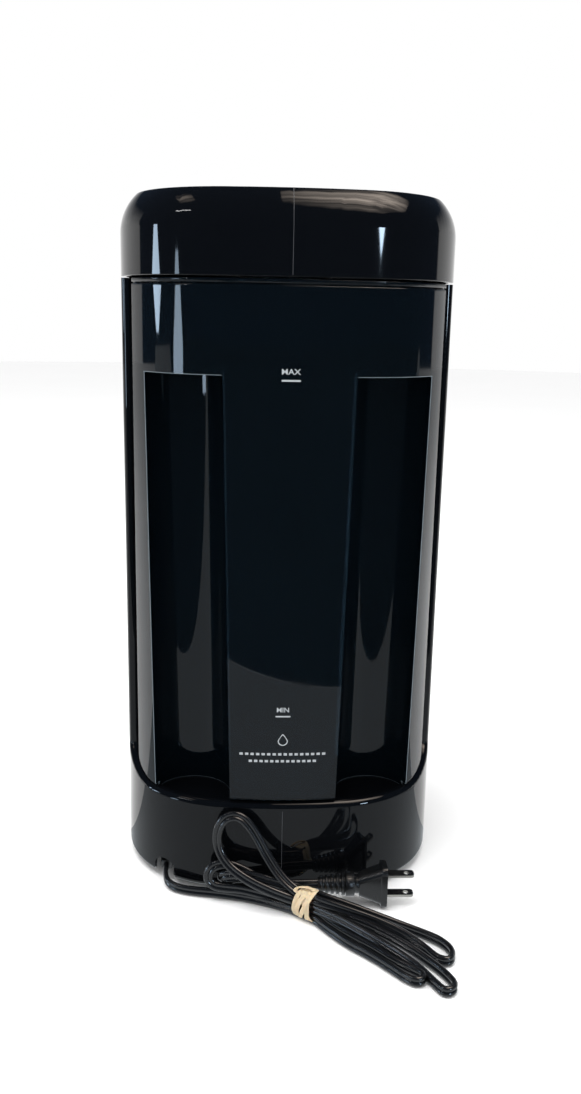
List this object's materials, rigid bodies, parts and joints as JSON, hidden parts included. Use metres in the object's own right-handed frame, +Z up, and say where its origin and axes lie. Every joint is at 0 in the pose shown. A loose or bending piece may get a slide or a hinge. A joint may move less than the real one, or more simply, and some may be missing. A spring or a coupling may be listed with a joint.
{
  "type": "cool mist humidifier",
  "caption": "Tall rounded-square tower humidifier with a smoked lift-out water tank with two hand channels, a gloss cover, and a tied two-core mains lead.",
  "frame": {"origin": "middle of the body at the level its rubber feet stand on", "axes": "+Z up, -Y towards the side that shows the water tank and the mains lead, +Y towards the control panel, +X to the right when looking at the tank side"},
  "size_m": [0.196, 0.2873, 0.41],
  "materials": {
    "gloss_black": "polished black ABS",
    "satin_black": "satin black moulding",
    "black_rubber": "soft rubber",
    "steel": "zinc-plated steel",
    "ceramic": "piezo ceramic",
    "circuit_board": "green circuit board",
    "aluminium": "extruded aluminium",
    "grey_plastic": "grey inner moulding",
    "smoked_tank": "smoked water-tank plastic",
    "clear_plastic": "clear light guide",
    "clear_silicone": "translucent silicone",
    "cord_black": "black cord sleeve",
    "band_beige": "natural rubber band",
    "nickel": "nickel-plated brass"
  },
  "bodies": {
    "base": {"housing": "gloss_black", "guide_pads": "satin_black", "bottom_plate": "satin_black", "rubber_feet": "black_rubber", "bottom_screws": "steel", "tray_posts": "satin_black", "basin_tray": "gloss_black", "basin_gasket": "black_rubber", "transducer_disc": "ceramic", "transducer_gasket": "black_rubber", "transducer_clamp": "satin_black", "driver_board": "circuit_board", "heat_sink": "aluminium", "power_board": "circuit_board", "fan_frame": "satin_black", "air_duct": "grey_plastic", "float_cage": "satin_black", "valve_lift_pin": "satin_black", "control_board": "circuit_board", "display_lens": "smoked_tank", "light_guide": "clear_plastic", "power_cord_hank": "cord_black", "cord_band": "band_beige", "cord_strain_relief": "cord_black", "plug_body": "cord_black", "plug_blades": "nickel", "power_cord_lead": "cord_black", "power_cord_loop": "cord_black", "power_cord_tail": "cord_black"},
    "fan": {"fan_impeller": "satin_black"},
    "float": {"float_ring": "grey_plastic"},
    "button": {"power_button": "gloss_black"},
    "tank": {"water_tank": "smoked_tank", "tank_collar": "smoked_tank", "mist_tube": "smoked_tank", "mist_tube_seal": "clear_silicone", "valve_cap": "satin_black", "valve_seal": "clear_silicone", "valve_spring": "steel"},
    "valve": {"valve_plunger": "grey_plastic"},
    "cover": {"top_cover": "gloss_black", "mist_duct": "satin_black", "drip_tray": "satin_black", "duct_seal": "clear_silicone"},
    "nozzle": {"mist_nozzle": "gloss_black"}
  },
  "joints": [
    {"name": "tank_lift", "type": "slide", "parent": "base", "child": "tank", "axis": [0, 0, 1], "range_m": [0, 0.325]},
    {"name": "cover_lift", "type": "slide", "parent": "tank", "child": "cover", "axis": [0, 0, 1], "range_m": [0, 0.06]},
    {"name": "nozzle_turn", "type": "hinge", "parent": "cover", "child": "nozzle", "pos_m": [0, 0.015, 0.405], "axis": [0, 0, 1], "continuous": true},
    {"name": "valve_travel", "type": "slide", "parent": "tank", "child": "valve", "axis": [0, 0, 1], "range_m": [0, 0.003], "stiffness_N_per_m": 150, "springref_m": -0.004, "deforming": ["valve_spring"]},
    {"name": "float_travel", "type": "slide", "parent": "base", "child": "float", "axis": [0, 0, 1], "range_m": [0, 0.008]},
    {"name": "button_press", "type": "slide", "parent": "base", "child": "button", "axis": [0, -1, 0], "range_m": [0, 0.0012], "stiffness_N_per_m": 400, "springref_m": -0.0008},
    {"name": "fan_spin", "type": "hinge", "parent": "base", "child": "fan", "pos_m": [0.058, 0.004, 0.015], "axis": [0, 0, 1], "continuous": true}
  ]
}
